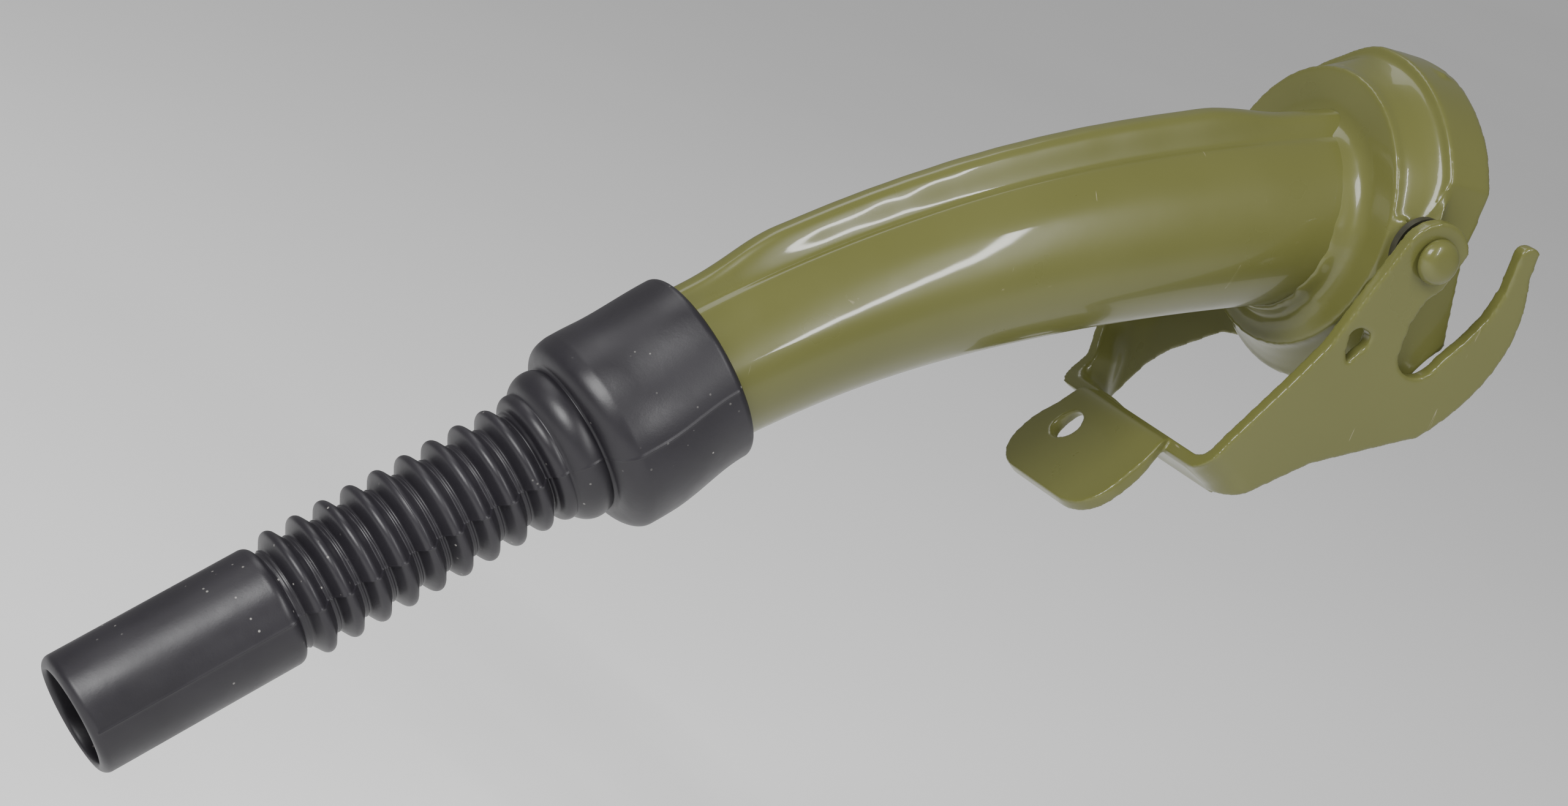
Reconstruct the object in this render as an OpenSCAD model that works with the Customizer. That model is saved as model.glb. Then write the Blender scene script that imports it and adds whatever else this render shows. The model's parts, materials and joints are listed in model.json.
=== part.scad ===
// Pouring spout for a lever-lock fuel can: a bent steel pipe on a pressed cap,
// a U-shaped locking lever on two rivets, and a flexible rubber end.
// The origin is the centre of the gasket's sealing face. +X leaves the mouth
// towards the can, Y is the lever's pivot axis, and +Z is the seam side.

/* [Pipe] */
// Outside radius of the pipe at the cap
pipe_root_r = 18; // [17:0.5:19]
// Outside radius of the pipe at the end of its wide stretch
pipe_mid_r = 17.6; // [17:0.1:17.9]
// Outside radius of the bend and of the rubber's seat
pipe_end_r = 15; // [14.8:0.1:15.5]
// Wall of the pipe
pipe_wall = 1.5; // [1:0.1:2]
// Slope of the pipe below the mouth's axis, at the cap
root_angle = 17; // [16:0.5:18]
// Slope of the rubber end below the mouth's axis
tip_angle = 41; // [38:0.5:44]
// Length from the mouth to the corner of the bend
root_len = 98.2; // [95:0.1:105]
// Length from the corner of the bend to the outlet
tip_len = 182.5; // [180:0.5:188]
// Radius of the bend's centre line
bend_r = 110; // [100:1:115]
// Height of the pipe's axis at the mouth, above the mouth's centre
pipe_rise = 0.4; // [0:0.1:1]
// Radius of the standing seam along the top of the pipe
seam_r = 2.8; // [2.4:0.1:3]

/* [Rubber end] */
// Outside radius of the straight tip
tip_r = 12; // [11.5:0.1:12.5]
// Radius of the tip's bore
tip_bore_r = 9.6; // [9:0.1:9.8]
// Length of the straight tip
tip_tube_len = 43; // [40:0.5:44]
// Distance from the outlet to the first bellows ring
first_ring = 46.9; // [46:0.1:48]
// Spacing of the bellows rings
ring_pitch = 5.8; // [5.6:0.05:5.9]
// Radius over the bellows rings
ring_r = 12.6; // [12.3:0.1:13]
// Radius in the valleys of the bellows
valley_r = 10.6; // [10.2:0.1:11]
// Radius of the cuff that grips the pipe
cuff_r = 19.2; // [18.5:0.1:20]

/* [Cap] */
// Radius of the cap's brim
brim_r = 33; // [32.8:0.1:33.6]
// Radius of the cap's crown
crown_r = 28.2; // [28.1:0.1:28.4]
// Depth of the crown in front of the brim
crown_depth = 9; // [8.5:0.1:10]
// Thickness of the cap's and saddle's sheet
sheet_t = 1.6; // [1.4:0.1:1.8]
// Radius of the round socket for the can's neck
socket_r = 24.5; // [24:0.1:25]
// Depth of the socket past the gasket's face
socket_depth = 3.5; // [3:0.1:4]

/* [Lever] */
// Thickness of the lever's plate
lever_t = 3; // [2.6:0.1:3.2]
// Inner face of each arm at the pivot, from the middle plane
arm_in = 32.8; // [32.6:0.1:33.4]
// Angle at which each arm closes in towards the web
arm_splay = 5.9; // [5:0.1:6]
// Width of the finger tab
tab_w = 32; // [28:0.5:34]
// Radius of the hole in the tab
tab_hole_r = 3.2; // [2.5:0.1:3.5]
// Radius of each pivot rivet's shank
rivet_r = 3; // [2.6:0.1:3.2]
// Radius of each rivet's domed head
rivet_head_r = 4.7; // [4.3:0.1:5]

/* [Hidden] */
$fn = 96;
eps = 0.01;
big = 400;

olive = [0.36, 0.35, 0.22];
steel = [0.62, 0.62, 0.6];
black = [0.12, 0.12, 0.13];

// Pipe line: the mouth, the corner of the bend and the outlet, in the XZ plane
bend_angle = tip_angle - root_angle;
tangent = bend_r * tan(bend_angle / 2);
root_straight = root_len - tangent;
wide_len = 50;
seat_r = pipe_end_r - 0.2;
seat_wall = pipe_wall - 0.4;
corner_x = -root_len * cos(root_angle);
corner_z = pipe_rise - root_len * sin(root_angle);
outlet_x = corner_x - tip_len * cos(tip_angle);
outlet_z = corner_z - tip_len * sin(tip_angle);

// Stations along the rubber end, measured from the outlet
ring_count = 9;
cuff_start = 103.5;
cuff_end = 135;
pipe_stop = 110;
rubber_wall = 2;
middle_ring = 5;
lower_end = first_ring + (middle_ring - 1.5) * ring_pitch;
upper_start = lower_end + ring_pitch;

// Head
cap_back = -crown_depth + sheet_t;
flat_y = crown_r;
ear_t = 1.8;
ear_out = flat_y + ear_t;
strap_r = brim_r + 1.4;
strap_back = 9;
gasket_t = 3;
gasket_r = socket_r - 0.8;
gasket_hole_r = 17.5;
tongue_w = 18;

// Strainer and breather, by distance down the pipe from the mouth
strainer_d = 17;
breather_x = 8.6;
breather_r = 3;
breather_bore_r = 2.2;
breather_len = 60;
breather_start = 9;

// Lever, in the XZ plane with the pivot at its origin
pivot_x = -2;
pivot_z = 1.5;
lobe_r = 7.8;
pin_clearance = 0.05;
web_half = 23.5;
web_drop = 62.3;
web_tilt = 23.8;
fold_r = 6.5;
tab_slope = 51.8;
tab_len = 17.5;
tab_hole_y = 6.9;
tab_hole_run = 4.7;
crest_c = [-29.9, -56.4];
crest_r = 4.2;

// Points of an arc about c, from angle a to angle b in n steps
function arc(c, r, a, b, n) = [for (i = [0:n]) c + r * [cos(a + (b - a) * i / n), sin(a + (b - a) * i / n)]];

// Draws its children's outline in the XZ plane, from y0 to y0 + t
module plate(y0, t) {
    translate([0, y0 + t, 0]) rotate([90, 0, 0]) linear_extrude(t) children();
}

// Turns its children's +Z along +X
module along_x(x0) {
    translate([x0, 0, 0]) rotate([0, 90, 0]) children();
}

// Local +Z runs down the pipe from the mouth, and local +X is the seam side
module root_line(d = 0) {
    translate([0, 0, pipe_rise]) rotate([0, -90 - root_angle, 0]) translate([0, 0, d]) children();
}

// Local +Z runs down the straight end of the pipe from the bend's corner
module end_line(d = 0) {
    translate([corner_x, 0, corner_z]) rotate([0, -90 - tip_angle, 0]) translate([0, 0, d]) children();
}

// Local +Z runs from the outlet up towards the cap
module outlet_line(s = 0) {
    translate([outlet_x, 0, outlet_z]) rotate([0, 90 - tip_angle, 0]) translate([0, 0, s]) children();
}

// A round bar along the bend, at radius r and at the given height over the centre line
module bend_bar(r, lift = 0) {
    root_line(root_straight) translate([-bend_r, 0, 0]) rotate([90, 0, 0])
        rotate_extrude(angle = bend_angle) translate([bend_r + lift, 0]) circle(r);
}

// The pipe's solid shape, reduced all round by inset
module pipe_solid(inset) {
    root_line(-4 * inset) cylinder(h = wide_len + 4 * inset, r1 = pipe_root_r - inset, r2 = pipe_mid_r - inset);
    root_line(wide_len)
        cylinder(h = root_straight - wide_len, r1 = pipe_mid_r - inset, r2 = pipe_end_r - inset);
    bend_bar(pipe_end_r - inset);
    end_line(tangent) cylinder(h = tip_len - tangent - pipe_stop, r = seat_r);
}

// A straight stretch of pipe wall along its children's line
module pipe_wall_bar(h, r1, r2) {
    rotate_extrude() polygon([[r1 - pipe_wall, 0], [r1, 0], [r2, h], [r2 - pipe_wall, h]]);
}

module spout_pipe() {
    color(olive) union() {
        difference() {
            root_line() pipe_wall_bar(wide_len, pipe_root_r, pipe_mid_r);
            along_x(cap_back) cylinder(h = 60, r = 60);
        }
        root_line(wide_len) pipe_wall_bar(root_straight - wide_len, pipe_mid_r, pipe_end_r);
        root_line(root_straight) translate([-bend_r, 0, 0]) rotate([90, 0, 0]) rotate_extrude(angle = bend_angle)
            translate([bend_r, 0]) difference() {
                circle(pipe_end_r);
                circle(pipe_end_r - pipe_wall);
            }
        end_line(tangent - eps) difference() {
            cylinder(h = tip_len - tangent - pipe_stop + eps, r = seat_r);
            translate([0, 0, -1]) cylinder(h = tip_len, r = seat_r - seat_wall);
        }
    }
}

// The seam is a round bar let into the top of the pipe
module seam_ridge() {
    rise = 1.2;
    seam_start = 13;
    lap = 0.4;
    lean = atan((pipe_root_r - pipe_mid_r) / wide_len);
    drop = atan((pipe_mid_r - pipe_end_r) / (root_straight - wide_len));
    color(olive) difference() {
        union() {
            root_line(seam_start) translate([pipe_root_r + rise, 0, 0]) rotate([0, -lean, 0])
                cylinder(h = wide_len - seam_start + lap, r = seam_r);
            root_line(wide_len) translate([pipe_mid_r + rise, 0, 0]) rotate([0, -drop, 0]) translate([0, 0, -lap])
                cylinder(h = (root_straight - wide_len) / cos(drop) + 2 * lap, r = seam_r - 0.05);
            bend_bar(seam_r, pipe_end_r + rise);
            end_line(tangent - lap) translate([pipe_end_r + rise, 0, 0])
                cylinder(h = tip_len - tangent - cuff_end, r = seam_r - 0.05);
        }
        pipe_solid(0);
    }
}

module cap_shell() {
    color(olive) difference() {
        intersection() {
            union() {
                along_x(-crown_depth) cylinder(h = crown_depth, r = crown_r);
                along_x(-sheet_t) cylinder(h = sheet_t, r = brim_r);
            }
            cube([big, 2 * flat_y, big], center = true);
        }
        along_x(cap_back) cylinder(h = 60, r = crown_r - sheet_t);
        pipe_solid(0);
    }
}

// One ear: leans back below the pivot and ends in a rounded corner
module ear_outline() {
    back_top = 9;
    back_foot = 14;
    foot_z = -17;
    front = -6.5;
    top_z = sqrt(strap_r * strap_r - ear_out * ear_out);
    polygon(concat(
        [[front, top_z], [front, -8]],
        arc([front + 7, -12], 7, 180, 250, 4),
        arc([back_foot - 2, foot_z + 2], 2, 270, 360, 4),
        [[back_top + 1.2, 2], [back_top, top_z]]));
}

module tongue() {
    slope = 17;
    run = 13;
    along = 4.5;
    intersection() {
        translate([strap_back - along, 0, strap_r - sheet_t / 2 - 0.1]) rotate([0, slope, 0])
            translate([0, -tongue_w / 2, -sheet_t / 2]) cube([run, tongue_w, sheet_t]);
        union() {
            translate([0, 0, 20]) cylinder(h = 30, r = tongue_w / 2);
            translate([0, -tongue_w / 2, 20]) cube([8, tongue_w, 30]);
            translate([8, 0, 20]) cylinder(h = 30, r = tongue_w / 2);
        }
    }
}

module saddle_bracket() {
    color(olive) difference() {
        union() {
            intersection() {
                along_x(-sheet_t) difference() {
                    cylinder(h = strap_back + sheet_t, r = strap_r);
                    translate([0, 0, -1]) cylinder(h = 30, r = brim_r);
                }
                translate([-20, -ear_out, 15]) cube([60, 2 * ear_out, 60]);
            }
            for (y = [flat_y, -ear_out]) plate(y, ear_t) ear_outline();
            difference() {
                tongue();
                along_x(-20) cylinder(h = 60, r = brim_r - 3.2);
                along_x(-20) cylinder(h = 20 + strap_back - 2, r = brim_r);
            }
        }
        translate([pivot_x, 0, pivot_z]) rotate([90, 0, 0]) cylinder(h = big, r = rivet_r, center = true);
    }
}

// Bead round the pipe where it enters the crown
module root_weld() {
    bead = 3.4;
    color(olive) difference() {
        translate([-crown_depth - 0.4, 0, pipe_rise - (crown_depth + 0.4) * tan(root_angle)]) rotate([0, 90, 0])
            rotate_extrude() translate([pipe_root_r + 1, 0]) circle(bead);
        pipe_solid(0);
        along_x(-crown_depth) cylinder(h = 60, r = 60);
    }
}

// Two short fillets in front of the saddle's ears
module saddle_welds() {
    leg = 1.65;
    weld_len = 14;
    base = flat_y + 0.05;
    color(olive) for (m = [0, 1]) mirror([0, m, 0]) translate([-6.5, 0, -weld_len / 2]) linear_extrude(weld_len)
        polygon([[0, base], [-leg, base], [0, base + leg]]);
}

module gasket_cup() {
    flange_t = 1.2;
    color(steel) difference() {
        along_x(cap_back) cylinder(h = socket_depth - cap_back, r = crown_r - sheet_t);
        along_x(0) cylinder(h = 60, r = socket_r);
        along_x(-gasket_t) cylinder(h = 60, r = gasket_r + 0.05);
        along_x(-gasket_t - flange_t) cylinder(h = 60, r = gasket_hole_r + 1);
        along_x(-60) cylinder(h = 60 - gasket_t - flange_t, r = gasket_r + 0.05);
    }
}

module mouth_gasket() {
    color(black) along_x(-gasket_t) difference() {
        cylinder(h = gasket_t, r = gasket_r);
        translate([0, 0, -1]) cylinder(h = 10, r = gasket_hole_r);
    }
}

// The breather runs along the seam side of the pipe's inside
module breather_bar(r, d0, len) {
    root_line(d0) translate([breather_x, 0, 0]) cylinder(h = len, r = r);
}

module strainer_ring() {
    ring_w = 1.4;
    ring_len = 4;
    outer = pipe_root_r - pipe_wall - 0.2;
    color(steel) root_line(strainer_d) difference() {
        cylinder(h = ring_len, r = outer);
        translate([0, 0, -1]) cylinder(h = 10, r = outer - ring_w);
    }
}

module strainer_gauze() {
    gauze_t = 0.6;
    color(steel) difference() {
        root_line(strainer_d + 1.5) cylinder(h = gauze_t, r = pipe_root_r - pipe_wall - 1.6);
        breather_bar(breather_r, breather_start - 1, breather_len);
    }
}

module breather_tube() {
    color(steel) difference() {
        breather_bar(breather_r, breather_start, breather_len);
        breather_bar(breather_bore_r, breather_start - 1, breather_len + 2);
    }
}

// Two clips hold the breather to the pipe's wall
module breather_clips() {
    clip_w = 6;
    color(steel) for (d = [30, 54]) difference() {
        union() {
            breather_bar(breather_r + 1, d, clip_w);
            root_line(d) translate([breather_x, -2, 0]) cube([6.5, 4, clip_w]);
        }
        breather_bar(breather_r, d - 1, clip_w + 2);
        difference() {
            root_line(d - 2) cylinder(h = clip_w + 4, r = 40);
            pipe_solid(pipe_wall);
        }
    }
}

// Side of the lever: lobe at the pivot, hook behind it, front edge down to the web
module arm_outline() {
    polygon(concat(
        arc([0, 0], lobe_r, 20, 172, 10),
        [[-11.6, -12], [-14.4, -22], [-18.4, -30], [-26.5, -45], [-28.8, -51.2], [-30.4, -54.4]],
        arc([-23.2, -57], 2.2, 215, 300, 4),
        [[-15, -53], [-6.4, -46.2], [3.6, -41.4], [12, -37.4]],
        arc([-8, -11.8], 33.6, -46, 24, 10),
        arc([20.4, 6], 2.2, 40, 190, 6),
        [[18.8, -2], [17.8, -8], [15.6, -13.6], [12.6, -19.2]],
        arc([7.2, -19], 5.1, -20, -172, 8),
        [[1.6, -13.4], [2.6, -8.4], [5.2, -5.2]]));
}

module arm_slot() {
    polygon(concat(
        [[-8.8, -24.6], [-10.4, -21.8]],
        arc([-8.9, -19], 2.1, 170, 70, 5),
        arc([-9.4, -19.2], 3.4, 30, -48, 5)));
}

// Section of the lever's bent channel: a flat web and two arms that lean out from it
module channel_section() {
    lean_run = (web_drop - fold_r + (fold_r - lever_t) * sin(arm_splay)) / cos(arm_splay);
    fold_y = arm_in - (fold_r - lever_t) * cos(arm_splay) - lean_run * sin(arm_splay);
    centre = [fold_y, fold_r];
    face = [cos(arm_splay), -sin(arm_splay)];
    rise = 100 * [sin(arm_splay), cos(arm_splay)];
    half = concat(
        arc(centre, fold_r, -90, -arm_splay, 8),
        [centre + fold_r * face + rise, centre + (fold_r - lever_t) * face + rise],
        arc(centre, fold_r - lever_t, -arm_splay, -90, 8));
    polygon(concat(half, [for (i = [len(half) - 1:-1:0]) [-half[i][0], half[i][1]]]));
}

// The channel's section rises from the web to the pivot at the origin
module channel() {
    rotate([0, web_tilt, 0]) rotate([90, 0, 90]) translate([0, -web_drop, -80]) linear_extrude(160)
        channel_section();
}

module web_outline() {
    polygon([[-29.5, -55.3], [-28.2, -52.5], [-19.4, -56.3], [-20.6, -59]]);
}

// Fold between the web and the tab, with a short run of each
module crest_outline() {
    polygon(concat(
        [[-27.6, -56.1], [-26.4, -53.4]],
        arc(crest_c, crest_r, 90 - web_tilt, 90 + tab_slope, 6),
        arc(crest_c, crest_r - lever_t, 90 + tab_slope, 90 - web_tilt, 4)));
}

// Finger tab, flat, with its root at the origin and its end down +X
module tab_plate() {
    corner = 8;
    translate([0, 0, -lever_t / 2]) difference() {
        union() {
            translate([-0.5, -tab_w / 2, 0]) cube([tab_len + 0.5 - corner, tab_w, lever_t]);
            translate([0, corner - tab_w / 2, 0]) cube([tab_len, tab_w - 2 * corner, lever_t]);
            for (m = [-1, 1]) translate([tab_len - corner, m * (tab_w / 2 - corner), 0])
                cylinder(h = lever_t, r = corner);
        }
        translate([tab_hole_run, tab_hole_y, -10]) cylinder(h = 20, r = tab_hole_r);
    }
}

module locking_lever() {
    color(olive) difference() {
        translate([pivot_x, 0, pivot_z]) union() {
            intersection() {
                channel();
                plate(-60, 120) difference() {
                    arm_outline();
                    arm_slot();
                }
            }
            plate(-web_half, 2 * web_half) web_outline();
            plate(-tab_w / 2, tab_w) crest_outline();
            translate([crest_c[0], 0, crest_c[1]]) rotate([0, 180 - tab_slope, 0])
                translate([0, 0, lever_t / 2 - crest_r]) tab_plate();
        }
        translate([pivot_x, 0, pivot_z]) rotate([90, 0, 0])
            cylinder(h = big, r = rivet_r + pin_clearance, center = true);
    }
}

// Rivet along +Y on the pivot axis; its inner end is flush with the ear
module rivet() {
    head_y = arm_in + lever_t + 0.65;
    head_h = 2.7;
    dome_r = (rivet_head_r * rivet_head_r + head_h * head_h) / (2 * head_h);
    translate([pivot_x, 0, pivot_z]) rotate([-90, 0, 0]) {
        translate([0, 0, flat_y]) cylinder(h = head_y - flat_y + eps, r = rivet_r);
        translate([0, 0, head_y]) intersection() {
            cylinder(h = head_h, r = rivet_head_r);
            translate([0, 0, head_h - dome_r]) sphere(dome_r);
        }
    }
}

module pivot_rivet_near() {
    color(olive) mirror([0, 1, 0]) rivet();
}

module pivot_rivet_far() {
    color(olive) rivet();
}

module washer() {
    washer_t = 1.6;
    washer_r = 7;
    translate([pivot_x, ear_out, pivot_z]) rotate([-90, 0, 0]) difference() {
        cylinder(h = washer_t, r = washer_r);
        translate([0, 0, -1]) cylinder(h = 4, r = rivet_r);
    }
}

module pivot_washer_near() {
    color(steel) mirror([0, 1, 0]) washer();
}

module pivot_washer_far() {
    color(steel) washer();
}

// A stretch of bellows from station a to station b, with rings first to last
module bellows(a, b, first, last) {
    rings = [for (i = [first:last]) each [
        [ring_r - 0.6, first_ring + (i - 1) * ring_pitch - 0.7],
        [ring_r, first_ring + (i - 1) * ring_pitch],
        [ring_r - 0.6, first_ring + (i - 1) * ring_pitch + 0.7],
        if (i < last) [valley_r, first_ring + (i - 0.5) * ring_pitch]]];
    inner = [for (i = [last:-1:first]) each [
        [ring_r - rubber_wall, first_ring + (i - 1) * ring_pitch],
        if (i > first) [valley_r - rubber_wall, first_ring + (i - 1.5) * ring_pitch]]];
    outlet_line() rotate_extrude() polygon(concat(
        [[valley_r, a]], rings, [[valley_r, b], [valley_r - rubber_wall, b]], inner,
        [[valley_r - rubber_wall, a]]));
}

module rubber_cuff() {
    inside = valley_r - rubber_wall;
    color(black) outlet_line() rotate_extrude() polygon(concat(
        [[inside, cuff_start - 5], [valley_r + 1, cuff_start - 5]],
        arc([valley_r + 1.6, cuff_start - 2], 2.4, -70, 70, 6),
        arc([cuff_r - 5.5, cuff_start + 5.5], 5.5, -60, 0, 6),
        arc([cuff_r - 1.2, cuff_end - 1.6], 1.2, 0, 90, 5),
        [[seat_r, cuff_end - 0.4], [seat_r, pipe_stop], [inside, pipe_stop - 4]]));
}

module bellows_upper() {
    color(black) bellows(upper_start, cuff_start - 5, middle_ring + 1, ring_count);
}

module bellows_middle() {
    color(black) bellows(lower_end, upper_start, middle_ring, middle_ring);
}

module bellows_lower() {
    color(black) bellows(tip_tube_len, lower_end, 1, middle_ring - 1);
}

module rubber_tip() {
    rim = 1.1;
    color(black) outlet_line() rotate_extrude() polygon(concat(
        arc([tip_r - rim, rim], rim, 0, -90, 5),
        arc([tip_bore_r + rim, rim], rim, 270, 180, 5),
        [[tip_bore_r, tip_tube_len - 4], [valley_r - rubber_wall, tip_tube_len], [valley_r, tip_tube_len]],
        arc([tip_r - 1.6, tip_tube_len - 2.2], 1.6, 70, 0, 5)));
}

spout_pipe();
seam_ridge();
cap_shell();
saddle_bracket();
root_weld();
saddle_welds();
gasket_cup();
mouth_gasket();
strainer_ring();
strainer_gauze();
breather_tube();
breather_clips();
locking_lever();
pivot_rivet_near();
pivot_rivet_far();
pivot_washer_near();
pivot_washer_far();
rubber_cuff();
bellows_upper();
bellows_middle();
bellows_lower();
rubber_tip();
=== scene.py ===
import json
import math

import bmesh
import bpy
import numpy as np
from mathutils import Matrix, Vector, noise


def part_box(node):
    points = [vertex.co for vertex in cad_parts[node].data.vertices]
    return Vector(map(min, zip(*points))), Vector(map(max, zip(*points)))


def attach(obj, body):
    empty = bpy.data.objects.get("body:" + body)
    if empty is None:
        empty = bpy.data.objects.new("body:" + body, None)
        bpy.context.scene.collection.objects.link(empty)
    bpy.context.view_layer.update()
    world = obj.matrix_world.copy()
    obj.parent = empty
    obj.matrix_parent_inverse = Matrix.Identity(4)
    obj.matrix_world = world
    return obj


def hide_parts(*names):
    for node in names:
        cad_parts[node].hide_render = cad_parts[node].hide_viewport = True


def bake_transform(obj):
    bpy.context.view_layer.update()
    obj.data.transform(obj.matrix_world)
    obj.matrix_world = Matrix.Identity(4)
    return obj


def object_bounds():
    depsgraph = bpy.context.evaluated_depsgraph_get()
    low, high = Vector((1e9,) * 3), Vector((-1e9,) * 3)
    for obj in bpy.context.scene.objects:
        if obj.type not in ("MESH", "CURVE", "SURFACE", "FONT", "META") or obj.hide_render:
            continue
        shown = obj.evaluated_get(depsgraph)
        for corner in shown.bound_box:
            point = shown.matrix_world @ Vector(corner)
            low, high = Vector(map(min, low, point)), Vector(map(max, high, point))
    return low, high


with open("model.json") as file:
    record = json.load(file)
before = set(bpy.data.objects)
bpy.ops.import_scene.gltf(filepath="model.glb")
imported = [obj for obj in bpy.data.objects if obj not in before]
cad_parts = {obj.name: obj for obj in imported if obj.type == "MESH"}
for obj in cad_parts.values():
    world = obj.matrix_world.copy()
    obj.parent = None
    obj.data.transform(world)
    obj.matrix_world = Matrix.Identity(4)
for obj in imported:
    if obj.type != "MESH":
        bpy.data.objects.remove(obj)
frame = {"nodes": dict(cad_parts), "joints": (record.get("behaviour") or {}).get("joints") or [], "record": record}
cad_low, cad_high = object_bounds()

MM = 0.001
NEAR = Vector((0, -1, 0))
ALONG = Vector((1, 0, 0))

# ---------------------------------------------------------------- layout, from the frame
mounts = {m["name"]: m for m in frame["record"]["mounts"]}
joints = {j["name"]: j for j in frame["joints"]}

pour_dir = Vector(mounts["outlet_pin"]["axis"]).normalized()
up_dir = -pour_dir
OUTLET_PIN_DEPTH = 21.0 * MM
outlet = Vector(mounts["outlet_pin"]["pos_m"]) + pour_dir * OUTLET_PIN_DEPTH
pivot = Vector(joints["lever_pivot"]["pos_m"])
side = Vector((0, 1, 0))
tip_down = side.cross(up_dir).normalized()

# How far the rubber sits above the CAD's axis and beyond its outlet, in millimetres
RUBBER_LIFT = 0.35
RUBBER_REACH = 0.45

# Pipe, in millimetres: a curve from the cap to a place under the rubber cuff
ROOT_SLOPE = math.radians(15.5)
ROOT_PULL = 51.5
CUFF_PULL = 53.0
PIPE_STOP = 110.0
PIPE_ROOT = Vector((-7.0, 0, -1.6))
CUFF_STATION = 122.0
PIPE_RADII = ((0, 18.0), (35, 17.7), (70, 17.0), (100, 15.8), (125, 15.3), (140, 15.2), (160, 14.8))
PIPE_WALL = 1.5
PIPE_ARC_RADIUS = 16.0
PIPE_COLUMNS = 200
PIPE_ROW_STEP = 1.5
CURVE_STEPS = 240
SEAM_HEIGHT = 4.3
SEAM_HALF_WIDTH = 3.1
CROWN_FRONT = -9.0
CROWN_BACK = -7.4


# ---------------------------------------------------------------- meshes
def new_object(name, verts, faces):
    mesh = bpy.data.meshes.new(name)
    mesh.from_pydata([tuple(v) for v in verts], [], faces)
    mesh.validate()
    obj = bpy.data.objects.new(name, mesh)
    bpy.context.scene.collection.objects.link(obj)
    mesh.polygons.foreach_set("use_smooth", [True] * len(mesh.polygons))
    fix_normals(obj)
    return obj


def fix_normals(obj):
    bm = bmesh.new()
    bm.from_mesh(obj.data)
    bmesh.ops.recalc_face_normals(bm, faces=bm.faces)
    bm.to_mesh(obj.data)
    bm.free()


def grid_faces(rows, columns, closed_rows=False):
    """Quads of a grid that closes round its columns, and round its rows too if asked."""
    faces = []
    for i in range(rows if closed_rows else rows - 1):
        for j in range(columns):
            k = (j + 1) % columns
            n = (i + 1) % rows
            faces.append((i * columns + j, n * columns + j, n * columns + k, i * columns + k))
    return faces


def apply_modifiers(obj):
    graph = bpy.context.evaluated_depsgraph_get()
    made = bpy.data.meshes.new_from_object(obj.evaluated_get(graph))
    obj.modifiers.clear()
    obj.data = made
    made.polygons.foreach_set("use_smooth", [True] * len(made.polygons))


def cad_copy(name, nodes):
    """One new object with the joined meshes of some CAD nodes."""
    bm = bmesh.new()
    for node in nodes:
        source = frame["nodes"][node]
        part = source.data.copy()
        part.transform(source.matrix_world)
        bm.from_mesh(part)
        bpy.data.meshes.remove(part)
    bmesh.ops.remove_doubles(bm, verts=bm.verts, dist=0.001 * MM)
    mesh = bpy.data.meshes.new(name)
    bm.to_mesh(mesh)
    bm.free()
    mesh.materials.clear()
    obj = bpy.data.objects.new(name, mesh)
    bpy.context.scene.collection.objects.link(obj)
    return obj


def soften(obj, voxel, rounds):
    """Turns joined plates into one skin whose corners are rounded as thick paint rounds them."""
    remesh = obj.modifiers.new("remesh", "REMESH")
    remesh.mode = "VOXEL"
    remesh.voxel_size = voxel * MM
    smooth = obj.modifiers.new("smooth", "SMOOTH")
    smooth.factor = 0.5
    smooth.iterations = rounds
    apply_modifiers(obj)


def smoothstep(a, b, x):
    """Eased rise from 0 at a to 1 at b; a may be the larger of the two."""
    t = min(max((x - a) / (b - a), 0.0), 1.0)
    return t * t * (3 - 2 * t)


def between(a, b, c, d, x):
    """1 from b to c, falling to 0 at a and d."""
    return smoothstep(a, b, x) * (1 - smoothstep(c, d, x))


def arch(depth, reach):
    """Height of a quarter circle of radius depth at a distance from its foot."""
    return math.sqrt(max(depth ** 2 - (depth - reach) ** 2, 0))


# ---------------------------------------------------------------- pipe
def station(s):
    """Point on the rubber end's axis, s millimetres from the outlet."""
    return outlet + up_dir * (s * MM)


def lifted(s):
    """The same point as it is drawn: the rubber sits a little high and far out on the pipe."""
    return station(s) - tip_down * (RUBBER_LIFT * MM) + pour_dir * (RUBBER_REACH * MM)


def make_pipe_line():
    """Rows of centre and run direction along the pipe, with their distances from the cap."""
    end = lifted(CUFF_STATION) / MM
    first = PIPE_ROOT + Vector((-math.cos(ROOT_SLOPE), 0, -math.sin(ROOT_SLOPE))) * ROOT_PULL
    last = end + up_dir * CUFF_PULL
    rows, length, before = [], 0.0, PIPE_ROOT
    for i in range(CURVE_STEPS + 1):
        t = i / CURVE_STEPS
        u = 1 - t
        place = PIPE_ROOT * u ** 3 + first * 3 * u * u * t + last * 3 * u * t * t + end * t ** 3
        run = (first - PIPE_ROOT) * u * u + (last - first) * 2 * u * t + (end - last) * t * t
        length += (place - before).length
        rows.append((length, place, run.normalized()))
        before = place
    stop = CUFF_STATION - PIPE_STOP
    rows.append((length + stop, before - up_dir * stop, -up_dir))
    return rows


PIPE_LINE = make_pipe_line()
PIPE_TOTAL = PIPE_LINE[-1][0]


def pipe_line(d):
    """Centre of the pipe, its seam-side direction and its run at distance d from the cap."""
    if d <= 0:
        place, run = PIPE_LINE[0][1] + PIPE_LINE[0][2] * d, PIPE_LINE[0][2]
    else:
        k = min(int(np.searchsorted([row[0] for row in PIPE_LINE], d)), len(PIPE_LINE) - 1)
        low, high = PIPE_LINE[k - 1], PIPE_LINE[k]
        t = (d - low[0]) / (high[0] - low[0])
        place, run = low[1].lerp(high[1], t), low[2].lerp(high[2], t).normalized()
    return place, Vector((run.z, 0, -run.x)), run


def pipe_radius(d):
    places, radii = zip(*PIPE_RADII)
    near = [float(np.interp(d + k, places, radii)) for k in (-12, -6, 0, 6, 12)]
    return sum(near) / len(near)


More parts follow.
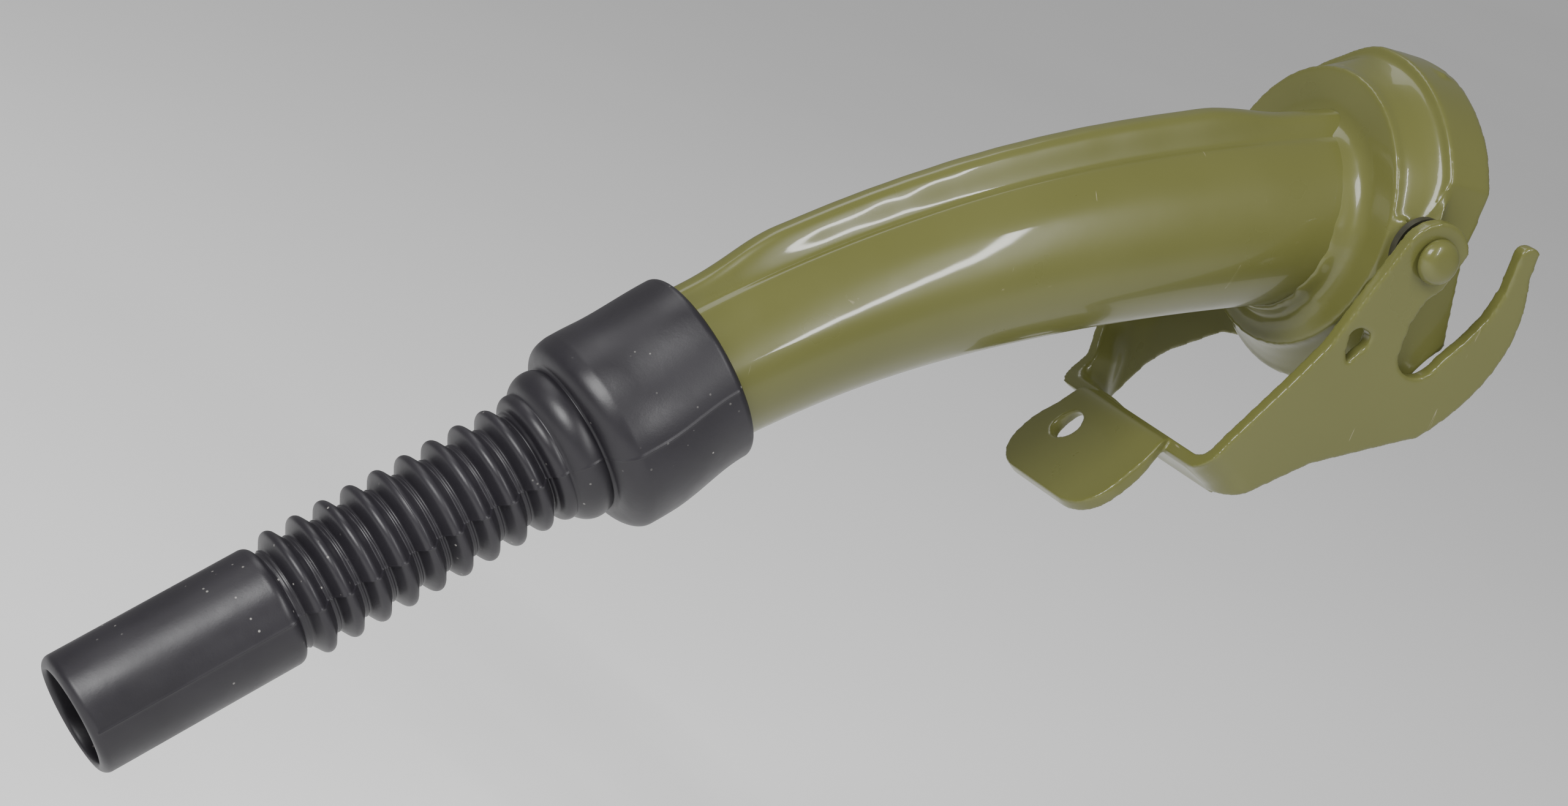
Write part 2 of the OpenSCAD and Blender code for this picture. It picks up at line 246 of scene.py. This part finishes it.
def seam_height(arc, d):
    """Height of the standing seam and of the soft shoulders beside it."""
    at_root = 0.55 + 0.45 * smoothstep(8, 26, d)
    at_cuff = 1 - 0.5 * smoothstep(PIPE_TOTAL - 46, PIPE_TOTAL - 27, d)
    fade = at_root * (at_cuff - 0.5 * smoothstep(PIPE_TOTAL - 24, PIPE_TOTAL - 14, d))
    wander = 0.1 * noise.noise(Vector((d * 0.11, 3.1, 0)))
    swell = 1 + 0.02 * noise.noise(Vector((d * 0.16, 8.2, 0)))
    ridge = SEAM_HEIGHT * swell * math.exp(-abs((arc + wander) / SEAM_HALF_WIDTH) ** 3.4)
    shoulder = 0.9 * math.exp(-((arc / 8.5) ** 2))
    groove = 0.4 * math.exp(-(((abs(arc) - 4.9) / 0.9) ** 2))
    return (ridge + shoulder - groove) * fade


def pipe_point(d, angle, radius):
    centre, over, _ = pipe_line(d)
    return centre + (over * math.cos(angle) + side * math.sin(angle)) * radius


def start_at_plane(angle, radius, x):
    """Distance along the root at which the pipe's surface meets the plane at x."""
    return (PIPE_ROOT.x - x - radius * math.cos(angle) * math.sin(ROOT_SLOPE)) / math.cos(ROOT_SLOPE)


def pipe_row(distances, angles, outside):
    row = []
    for d, a in zip(distances, angles):
        arc = (a if a < math.pi else a - 2 * math.pi) * PIPE_ARC_RADIUS
        radius = pipe_radius(d) + (seam_height(arc, d) if outside else -PIPE_WALL)
        row.append(pipe_point(d, a, radius) * MM)
    return row


def pipe_angles():
    """Angles round the pipe, closer together at the seam."""
    even = [2 * math.pi * j / PIPE_COLUMNS for j in range(PIPE_COLUMNS)]
    return [a - 0.6 * math.sin(a) for a in even]


def pipe_rows(angles):
    """Distances of the rows, the first ones turning from the crown's plane to square cuts."""
    slanted_rows, square_from = 10, 14.0
    root = [start_at_plane(a, PIPE_RADII[0][1], CROWN_BACK) for a in angles]
    rows = []
    for i in range(slanted_rows):
        t = i / slanted_rows
        rows.append([d * (1 - t) + square_from * t for d in root])
    square = list(np.arange(square_from, PIPE_TOTAL, PIPE_ROW_STEP)) + [PIPE_TOTAL]
    return rows + [[d] * len(angles) for d in square]


def make_pipe():
    angles = pipe_angles()
    rows = pipe_rows(angles)
    outer = [p for row in rows for p in pipe_row(row, angles, True)]
    inner = [p for row in reversed(rows) for p in pipe_row(row, angles, False)]
    faces = grid_faces(2 * len(rows), PIPE_COLUMNS, closed_rows=True)
    pipe = new_object("painted_pipe", outer + inner, faces)
    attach(pipe, "spout")
    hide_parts("spout_pipe", "seam_ridge")
    return pipe


# ---------------------------------------------------------------- head and lever
def ring_mesh(bm, centre, section, columns):
    """Adds a closed ring about the cap's axis; its section of run and radius may change round it."""
    other = ALONG.cross(NEAR)
    rings = []
    for j in range(columns):
        a = 2 * math.pi * j / columns
        out = NEAR * math.cos(a) + other * math.sin(a)
        rings.append([bm.verts.new((centre + ALONG * x + out * r) * MM) for x, r in section(a)])
    for j in range(columns):
        here, there = rings[j], rings[(j + 1) % columns]
        for i in range(len(here)):
            n = (i + 1) % len(here)
            bm.faces.new((here[i], here[n], there[n], there[i]))


def weld_section(a):
    """Section of the hollow bead between crown and pipe, uneven as a hand weld is."""
    spot = Vector((math.cos(a), math.sin(a), 0))
    lumps = 0.6 * noise.noise(spot * 4.0) + 0.3 * noise.noise(spot * 11) + 0.15 * noise.noise(spot * 24)
    reach = 4.2 + lumps
    climb = 4.6 + 1.2 * lumps
    slope = math.tan(ROOT_SLOPE)
    pipe = PIPE_RADII[0][1] / math.hypot(math.cos(a), math.cos(ROOT_SLOPE) * math.sin(a))
    section = [(1.5, -1.5), (1.2, reach), (0.0, reach), (-0.9, reach * 0.42), (-2.2, 0.9),
               (-climb, -0.1), (-climb, -1.6)]
    return [(x, pipe + r - slope * x * math.sin(a)) for x, r in section]


def trim_ears(bm):
    """Slopes the front edge of both ears back to the strap."""
    for v in bm.verts:
        if abs(v.co.y) > 28 * MM and v.co.x < -5 * MM and v.co.z > 12 * MM:
            v.co.x = -1.6 * MM


def settle_head(head):
    """Small shifts of the pressed cap: brim back and down, far rim drawn in, ear feet longer."""
    for v in head.data.vertices:
        x, y, z = v.co / MM
        back = smoothstep(-8, 0, x) * smoothstep(2, 16, z)
        low = smoothstep(-12, -22, z)
        far = smoothstep(4, 18, y) * smoothstep(0, 12, z)
        far *= smoothstep(28.5, 33, math.hypot(y, z))
        foot = smoothstep(27, 28, abs(y)) * smoothstep(-9, -15, z) * (1 - smoothstep(5, 13, x))
        spread = 1 + 0.02 * low - 0.055 * far
        v.co = Vector((x + 1.2 * back, y * spread, z * spread - 0.45 - 8 * foot)) * MM


def crown_fillet(_):
    """Paint and draw radius in the corner between crown and brim."""
    return [(1.6, 27.6), (7.5, 27.6), (8.3, 33.4), (7.0, 32.0), (5.0, 30.2), (3.2, 29.0), (1.8, 28.2)]


def make_head():
    head = cad_copy("painted_head", ["cap_shell", "saddle_bracket", "saddle_welds"])
    bm = bmesh.new()
    bm.from_mesh(head.data)
    trim_ears(bm)
    drop = PIPE_ROOT.z + (CROWN_FRONT - PIPE_ROOT.x) * math.tan(ROOT_SLOPE)
    ring_mesh(bm, Vector((CROWN_FRONT, 0, drop)), weld_section, 200)
    ring_mesh(bm, Vector((CROWN_FRONT, 0, 0)), crown_fillet, 120)
    bmesh.ops.recalc_face_normals(bm, faces=bm.faces)
    bm.to_mesh(head.data)
    bm.free()
    soften(head, 0.5, 14)
    settle_head(head)
    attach(head, "spout")
    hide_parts("cap_shell", "saddle_bracket", "saddle_welds", "root_weld")
    return head


def arm_shift(x, y, z):
    """Far arm and its fold leaning in, with a hollow in the arm's rear edge."""
    lean = smoothstep(6, 17, y) * smoothstep(-10, -46, z) * smoothstep(-34, -29, x)
    hollow = smoothstep(20, 24, y) * between(-20, -12, 4, 14, x) * smoothstep(-28, -40, z)
    corner = smoothstep(8, 17, y) * between(-40, -33, -25, -18, x) * smoothstep(-38, -46, z)
    return Vector((2.2 * lean, -3.4 * lean - 3.2 * corner, 3.4 * hollow))


def tab_shift(x, y, z):
    """Finger tab longer and wider, and the fold behind it higher."""
    tab = smoothstep(-31, -47, x) * smoothstep(-38, -44, z)
    near_edge = smoothstep(-30, -36, x) * smoothstep(-4, -14, y)
    crest = between(-37, -33, -26, -19, x) * smoothstep(-42, -52, z)
    return Vector((-1.1 * tab, -1.8 * near_edge, 1.3 * crest - 1.4 * tab))


def hook_shift(x, z):
    """Hook tips a little further out."""
    hook = smoothstep(4, 22, x) * smoothstep(-36, -4, z)
    return Vector((1.6 * hook, 0, -0.7 * hook))


def bend_lever(lever):
    for v in lever.data.vertices:
        x, y, z = v.co / MM
        v.co += (arm_shift(x, y, z) + tab_shift(x, y, z) + hook_shift(x, z)) * MM


def make_lever():
    lever = cad_copy("painted_lever", ["locking_lever"])
    soften(lever, 0.34, 10)
    bend_lever(lever)
    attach(lever, "lever")
    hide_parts("locking_lever")
    return lever


# ---------------------------------------------------------------- rubber end
FIRST_RING = 46.9
RING_PITCH = 5.8
RING_COUNT = 9
RING_R = 12.6
VALLEY_R = 9.8
TIP_R = 12.0
TIP_BORE_R = 9.6
TIP_END = 43.0
TIP_ROUND = 1.8
TIP_SHOULDER = 2.4
LAST_RING = FIRST_RING + (RING_COUNT - 0.5) * RING_PITCH
CUFF_START = LAST_RING + 10.2
CUFF_END = 135.0
SEAT_R = 14.6
SPLIT = FIRST_RING + 4 * RING_PITCH

# Mould lines above the near and far sides, and how far the halves are out of step
PARTING = math.radians(8)
NEAR_LINE = math.pi / 2 + PARTING
FAR_LINE = 3 * math.pi / 2 - PARTING
MISMATCH = 0.38


def ring_profile(s):
    """Radius of the ringed bellows at station s."""
    crest, crest_half, flank_run = 1.15, 0.95, 1.45
    d = abs((s - FIRST_RING + RING_PITCH / 2) % RING_PITCH - RING_PITCH / 2)
    if d < crest_half:
        return RING_R - (crest - math.sqrt(crest * crest - d * d))
    shoulder = RING_R - (crest - math.sqrt(crest * crest - crest_half ** 2))
    t = min((d - crest_half) / flank_run, 1)
    rib = 0.42 * math.exp(-(((d - 2.9) / 0.3) ** 2))
    return shoulder + (VALLEY_R - shoulder) * t + rib


def bulge(s, centre, radius, half):
    """Height of a round bulge over its base, nothing outside it."""
    t = (s - centre) / half
    return radius * math.sqrt(max(1 - t * t, 0))


def tip_radius(s):
    """Straight outlet with a rounded rim and a rounded end beside the bellows."""
    if s < TIP_ROUND:
        return TIP_R - TIP_ROUND + arch(TIP_ROUND, s)
    if s < TIP_END - TIP_SHOULDER:
        return TIP_R - 0.004 * (s - 1.1)
    t = (s - TIP_END + TIP_SHOULDER) / TIP_SHOULDER
    return TIP_R - 0.15 - 2.2 + 2.2 * math.sqrt(max(1 - t ** 2.6, 0))


def collar_radius(s):
    """Small last ring and the round collar under the cuff."""
    small_ring = 10.6 + bulge(s, LAST_RING + 2.6, 2.3, 2.1)
    collar = 10.6 + bulge(s, LAST_RING + 7.6, 4.5, 4.6)
    return max(small_ring, collar, 10.3)


def cuff_radius(s):
    """Thick sleeve: a round shoulder, a slight taper and a rounded lip."""
    shoulder, lip_round = 5.4, 1.6
    t = min((s - CUFF_START) / shoulder, 1)
    body = 14.2 + 5.7 * arch(1, t) - 1.1 * smoothstep(113, 134, s)
    lip = CUFF_END - s
    if lip < lip_round:
        body -= lip_round - arch(lip_round, lip)
    return body


def outer_radius(s):
    if s < TIP_END:
        return tip_radius(s)
    if s < FIRST_RING - RING_PITCH / 2:
        return VALLEY_R
    if s < LAST_RING:
        return ring_profile(s)
    if s < CUFF_START:
        return collar_radius(s)
    return max(cuff_radius(s), collar_radius(s) if s < CUFF_START + 1 else 0)


def inner_radius(s):
    rim, root = 1.1, VALLEY_R - 1.6
    if s < rim:
        return TIP_BORE_R + 0.55 - 0.5 * arch(rim, s)
    if s < TIP_END - 4:
        return TIP_BORE_R
    if s < 100:
        return TIP_BORE_R + (root - TIP_BORE_R) * smoothstep(TIP_END - 4, TIP_END, s)
    return root + (SEAT_R - root) * smoothstep(104, PIPE_STOP, s)


def mould_line(angle, radius):
    """Height of the thin flash along the nearer mould line."""
    gaps = [abs((angle - line + math.pi) % (2 * math.pi) - math.pi) for line in (NEAR_LINE, FAR_LINE)]
    return 0.16 * math.exp(-((min(gaps) * radius / 0.22) ** 2))


def rubber_point(s, angle, outside):
    """Angle 0 is the underside and 90 degrees the near side."""
    radius, sag = inner_radius(s), 0
    if outside:
        radius = outer_radius(s)
        radius += mould_line(angle, radius) if 1.2 < s < CUFF_END - 1 else 0
        sag = 1.3 * smoothstep(105, 111, s) - 1.5 * smoothstep(117, 133, s)
    out = tip_down * math.cos(angle) - side * math.sin(angle)
    return lifted(s) + out * (radius * MM) + tip_down * (sag * MM)


def lower_half(angle):
    return not NEAR_LINE < angle % (2 * math.pi) < FAR_LINE


def ring_angles():
    """Angles round the rubber, closer together at the two mould lines."""
    even = [2 * math.pi * j / 144 for j in range(144)]
    step = 0.012
    extra = [line + k * step for line in (NEAR_LINE, FAR_LINE) for k in (-2, -1, -0.2, 0.2, 1, 2)]
    return sorted(even + extra)


def rubber_stations(a, b):
    """Stations from a to b, close together where the radius changes fast."""
    plain_step, ringed_step, rim_step = 1.0, 0.24, 0.12
    stations = [a]
    while stations[-1] < b - 1e-6:
        s = stations[-1]
        plain = 3 < s < TIP_END - 4 or 118 < s < CUFF_END - 4
        step = plain_step if plain else ringed_step
        if s < 1.4 or s > CUFF_END - 2:
            step = rim_step
        stations.append(min(s + step, b))
    return stations


def outer_row(s, angles):
    """One row of the outside; below the mould lines the rings are a little out of step."""
    slip = up_dir * (MISMATCH * between(43, 46, 95, 98, s) * MM)
    row = [rubber_point(s, angle, True) for angle in angles]
    return [p + slip if lower_half(angle) else p for p, angle in zip(row, angles)]


def make_rubber(name, a, b, replaced):
    angles = ring_angles()
    stations = rubber_stations(a, b)
    rows = [outer_row(s, angles) for s in stations]
    for s in reversed(stations[::3] + [b]):
        rows.append([rubber_point(s, angle, False) for angle in angles])
    verts = [p for row in rows for p in row]
    piece = new_object(name, verts, grid_faces(len(rows), len(angles), closed_rows=True))
    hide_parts(*replaced)
    return piece


# ---------------------------------------------------------------- rivets
RIVET_COLUMNS = 48
SHANK_R = 3.0 * MM
SHANK_END = 28.2 * MM


def rivet_profile(head_r, reach):
    """Radius and distance along the axis, from the top of the dome to the shank's end."""
    head_h, steps = 2.7 * MM, 12
    profile = [(0, reach)]
    for i in range(1, steps + 1):
        t = i / steps * math.pi / 2
        profile.append((head_r * math.sin(t) ** 0.72, reach - head_h * (1 - math.cos(t)) ** 1.25))
    under = reach - head_h - 0.05 * MM
    return profile + [(head_r - 0.3 * MM, under), (SHANK_R, under), (SHANK_R, SHANK_END), (0, SHANK_END)]


def make_rivet(name, sign, node):
    """Domed head with a soft rolled edge, and the shank behind it."""
    low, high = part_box(node)
    profile = rivet_profile((high.x - low.x) / 2, max(abs(low.y), abs(high.y)))
    verts = []
    for radius, y in profile:
        for j in range(RIVET_COLUMNS):
            a = 2 * math.pi * j / RIVET_COLUMNS
            r = max(radius, 1e-6)
            verts.append(Vector((pivot.x + r * math.cos(a), sign * y, pivot.z + r * math.sin(a))))
    rivet = new_object(name, verts, grid_faces(len(profile), RIVET_COLUMNS))
    bm = bmesh.new()
    bm.from_mesh(rivet.data)
    bmesh.ops.remove_doubles(bm, verts=bm.verts, dist=0.002 * MM)
    bmesh.ops.recalc_face_normals(bm, faces=bm.faces)
    bm.to_mesh(rivet.data)
    bm.free()
    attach(rivet, "spout")
    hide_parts(node)
    return rivet


# ---------------------------------------------------------------- materials
def material(name):
    made = bpy.data.materials.new(name)
    made.use_nodes = True
    nodes, links = made.node_tree.nodes, made.node_tree.links
    nodes.clear()
    out = nodes.new("ShaderNodeOutputMaterial")
    shader = nodes.new("ShaderNodeBsdfPrincipled")
    links.new(shader.outputs[0], out.inputs["Surface"])
    return made, nodes, links, shader


def add(nodes, kind, **values):
    node = nodes.new(kind)
    for key, value in values.items():
        key = key.replace("_", " ")
        for socket in node.inputs:
            if socket.name.lower() == key:
                socket.default_value = value
                break
    return node


def ramp(nodes, links, source, stops):
    node = nodes.new("ShaderNodeValToRGB")
    while len(node.color_ramp.elements) > len(stops):
        node.color_ramp.elements.remove(node.color_ramp.elements[-1])
    while len(node.color_ramp.elements) < len(stops):
        node.color_ramp.elements.new(0.5)
    for element, (place, colour) in zip(node.color_ramp.elements, stops):
        element.position = place
        element.color = (*colour, 1) if isinstance(colour, tuple) else (colour, colour, colour, 1)
    links.new(source, node.inputs["Fac"])
    return node.outputs["Color"]


def mix(nodes, links, factor, a, b, blend="MIX"):
    node = nodes.new("ShaderNodeMix")
    node.data_type = "RGBA"
    node.blend_type = blend
    for socket, value in ((node.inputs[0], factor), (node.inputs[6], a), (node.inputs[7], b)):
        if isinstance(value, bpy.types.NodeSocket):
            links.new(value, socket)
        elif isinstance(value, tuple):
            socket.default_value = (*value, 1)
        else:
            socket.default_value = value
    return node.outputs[2]


def object_noise(nodes, links, scale, detail=4.0, roughness=0.5, stretch=None):
    coords = nodes.new("ShaderNodeTexCoord")
    source = coords.outputs["Object"]
    if stretch:
        mapping = nodes.new("ShaderNodeMapping")
        mapping.inputs["Rotation"].default_value = stretch[0]
        mapping.inputs["Scale"].default_value = stretch[1]
        links.new(source, mapping.inputs["Vector"])
        source = mapping.outputs[0]
    node = add(nodes, "ShaderNodeTexNoise", scale=scale, detail=detail, roughness=roughness)
    links.new(source, node.inputs["Vector"])
    return node.outputs["Fac"]


def bump(nodes, links, shader, layers):
    """Adds bump layers, each a height output, a strength and a depth in metres."""
    normal = None
    for height, strength, depth in layers:
        node = add(nodes, "ShaderNodeBump", strength=strength, distance=depth)
        links.new(height, node.inputs["Height"])
        if normal:
            links.new(normal, node.inputs["Normal"])
        normal = node.outputs[0]
    links.new(normal, shader.inputs["Normal"])


def olive_paint():
    made, nodes, links, shader = material("olive_gloss_paint")
    broad = object_noise(nodes, links, 14, 3)
    base = ramp(nodes, links, broad, [(0.3, (0.106, 0.109, 0.029)), (0.7, (0.126, 0.129, 0.038))])
    worn = object_noise(nodes, links, 260, 6, 0.65)
    flecks = ramp(nodes, links, worn, [(0.70, 0.0), (0.76, 1.0)])
    colour = mix(nodes, links, flecks, base, (0.23, 0.21, 0.11))
    scratch = object_noise(nodes, links, 42, 2, 0.4, ((0.3, 0.9, 0.4), (22, 1.6, 1.6)))
    thin = ramp(nodes, links, scratch, [(0.752, 0.0), (0.764, 1.0), (0.776, 0.0)])
    colour = mix(nodes, links, thin, colour, (0.27, 0.25, 0.15))
    links.new(colour, shader.inputs["Base Color"])
    gloss = object_noise(nodes, links, 60, 5)
    links.new(ramp(nodes, links, gloss, [(0.3, 0.26), (0.75, 0.38)]), shader.inputs["Roughness"])
    shader.inputs["Specular IOR Level"].default_value = 0.3
    shader.inputs["Coat Weight"].default_value = 0.35
    shader.inputs["Coat Roughness"].default_value = 0.06
    peel = object_noise(nodes, links, 180, 2)
    runs = object_noise(nodes, links, 35, 2)
    bump(nodes, links, shader, [(runs, 0.10, 0.0005), (peel, 0.10, 0.0002)])
    return made


def black_rubber():
    made, nodes, links, shader = material("black_moulded_rubber")
    broad = object_noise(nodes, links, 30, 4)
    base = ramp(nodes, links, broad, [(0.3, (0.0145, 0.013, 0.0165)), (0.72, (0.022, 0.020, 0.025))])
    specks = add(nodes, "ShaderNodeTexVoronoi", scale=420.0, randomness=1.0)
    coords = nodes.new("ShaderNodeTexCoord")
    links.new(coords.outputs["Object"], specks.inputs["Vector"])
    dots = ramp(nodes, links, specks.outputs["Distance"], [(0.07, 1.0), (0.12, 0.0)])
    patch = ramp(nodes, links, object_noise(nodes, links, 75, 3), [(0.52, 0.0), (0.62, 1.0)])
    dust = mix(nodes, links, 1.0, dots, patch, "MULTIPLY")
    colour = mix(nodes, links, dust, base, (0.30, 0.29, 0.27))
    links.new(colour, shader.inputs["Base Color"])
    sheen = object_noise(nodes, links, 90, 5)
    links.new(ramp(nodes, links, sheen, [(0.3, 0.34), (0.7, 0.48)]), shader.inputs["Roughness"])
    shader.inputs["Specular IOR Level"].default_value = 0.45
    grain = object_noise(nodes, links, 2400, 3, 0.7)
    scuff = object_noise(nodes, links, 300, 4)
    bump(nodes, links, shader, [(scuff, 0.18, 0.0002), (grain, 0.14, 0.00006)])
    return made


def bare_steel():
    made, nodes, links, shader = material("plated_steel")
    broad = object_noise(nodes, links, 120, 4)
    links.new(ramp(nodes, links, broad, [(0.3, (0.42, 0.42, 0.40)), (0.7, (0.56, 0.55, 0.51))]),
              shader.inputs["Base Color"])
    shader.inputs["Metallic"].default_value = 1.0
    turned = object_noise(nodes, links, 400, 3, 0.5, ((0, 0, 0), (1, 12, 12)))
    links.new(ramp(nodes, links, turned, [(0.3, 0.26), (0.7, 0.46)]), shader.inputs["Roughness"])
    bump(nodes, links, shader, [(turned, 0.2, 0.0001)])
    return made


def dark_steel():
    made, nodes, links, shader = material("oiled_steel")
    broad = object_noise(nodes, links, 150, 4)
    links.new(ramp(nodes, links, broad, [(0.3, (0.05, 0.05, 0.035)), (0.7, (0.09, 0.085, 0.06))]),
              shader.inputs["Base Color"])
    links.new(ramp(nodes, links, broad, [(0.3, 0.4), (0.7, 0.6)]), shader.inputs["Roughness"])
    shader.inputs["Metallic"].default_value = 0.6
    bump(nodes, links, shader, [(broad, 0.2, 0.0001)])
    return made


def put(obj, made):
    obj.data.materials.clear()
    obj.data.materials.append(made)


# ---------------------------------------------------------------- build
paint = olive_paint()
rubber = black_rubber()
steel = bare_steel()
oiled = dark_steel()

painted = [make_pipe(), make_head(), make_lever(),
           make_rivet("rivet_head_near", -1, "pivot_rivet_near"),
           make_rivet("rivet_head_far", 1, "pivot_rivet_far")]
for piece in painted:
    put(piece, paint)

upper_rubber = make_rubber("rubber_upper", SPLIT, CUFF_END, ["rubber_cuff", "bellows_upper"])
lower_rubber = make_rubber("rubber_lower", 0.0, SPLIT, ["bellows_middle", "bellows_lower", "rubber_tip"])
for piece in (upper_rubber, lower_rubber):
    put(piece, rubber)

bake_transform(upper_rubber)
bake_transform(lower_rubber)

put(frame["nodes"]["mouth_gasket"], rubber)
for node in ("gasket_cup", "strainer_ring", "strainer_gauze", "breather_tube", "breather_clips"):
    put(frame["nodes"][node], steel)
for node in ("pivot_washer_near", "pivot_washer_far"):
    put(frame["nodes"][node], oiled)


# ---------------------------------------------------------------- stage, camera and light
FLOOR_DROP = 40 * MM
FLOOR_HALF = 6.0


def make_floor():
    """Plain floor, far enough below for the rubber to bend down."""
    z = cad_low.z - FLOOR_DROP
    corners = [(x * FLOOR_HALF, y * FLOOR_HALF, z) for x, y in ((-1, -1), (1, -1), (1, 1), (-1, 1))]
    mesh = bpy.data.meshes.new("floor")
    mesh.from_pydata(corners, [], [(0, 1, 2, 3)])
    floor = bpy.data.objects.new("floor", mesh)
    bpy.context.scene.collection.objects.link(floor)
    made, nodes, links, shader = material("pale_floor")
    tone = object_noise(nodes, links, 3, 2)
    links.new(ramp(nodes, links, tone, [(0.3, 0.86), (0.7, 0.9)]), shader.inputs["Base Color"])
    shader.inputs["Roughness"].default_value = 0.9
    shader.inputs["Emission Color"].default_value = (1, 1, 1, 1)
    shader.inputs["Emission Strength"].default_value = 0.16
    put(floor, made)


def area_light(name, place, aim, size, power):
    lamp = bpy.data.lights.new(name, "AREA")
    lamp.shape = "RECTANGLE"
    lamp.size, lamp.size_y = size
    lamp.energy = power
    obj = bpy.data.objects.new(name, lamp)
    obj.location = place
    obj.rotation_euler = (Vector(aim) - Vector(place)).to_track_quat("-Z", "Y").to_euler()
    bpy.context.scene.collection.objects.link(obj)


CAMERA_AZIMUTH = math.radians(-35.3)
CAMERA_ELEVATION = math.radians(11.55)
CAMERA_ROLL = math.radians(20.43)
CAMERA_PLACE = Vector((-0.6362, -0.7436, 0.1231))
LENS = 112.5


def make_camera():
    data = bpy.data.cameras.new("camera")
    data.sensor_width = 36
    data.lens = LENS
    camera = bpy.data.objects.new("camera", data)
    level = math.cos(CAMERA_ELEVATION)
    back = Vector((math.sin(CAMERA_AZIMUTH) * level, -math.cos(CAMERA_AZIMUTH) * level,
                   math.sin(CAMERA_ELEVATION)))
    turned = Matrix.Rotation(CAMERA_ROLL, 4, back) @ back.to_track_quat("Z", "Y").to_matrix().to_4x4()
    camera.matrix_world = Matrix.Translation(CAMERA_PLACE) @ turned
    bpy.context.scene.collection.objects.link(camera)
    bpy.context.scene.camera = camera
    return turned


def make_world():
    world = bpy.data.worlds.new("studio")
    world.use_nodes = True
    background = world.node_tree.nodes["Background"]
    background.inputs["Color"].default_value = (1, 1, 1, 1)
    background.inputs["Strength"].default_value = 0.26
    bpy.context.scene.world = world


make_floor()
view = make_camera()
make_world()
centre = (cad_low + cad_high) / 2


def seen_from(right, up, back):
    """A place given by distances to the camera's right, above and towards it."""
    return centre + view.to_3x3() @ Vector((right, up, back))


area_light("key", seen_from(-0.2, 0.6, 0.85), centre, (0.55, 0.4), 12)
area_light("top", seen_from(-0.1, 0.95, -0.1), centre, (0.7, 0.3), 2)
area_light("strip", seen_from(0.62, 0.2, 0.6), centre, (0.035, 0.6), 4)
area_light("low", seen_from(-0.6, -0.45, 0.7), centre, (0.5, 0.3), 1.2)
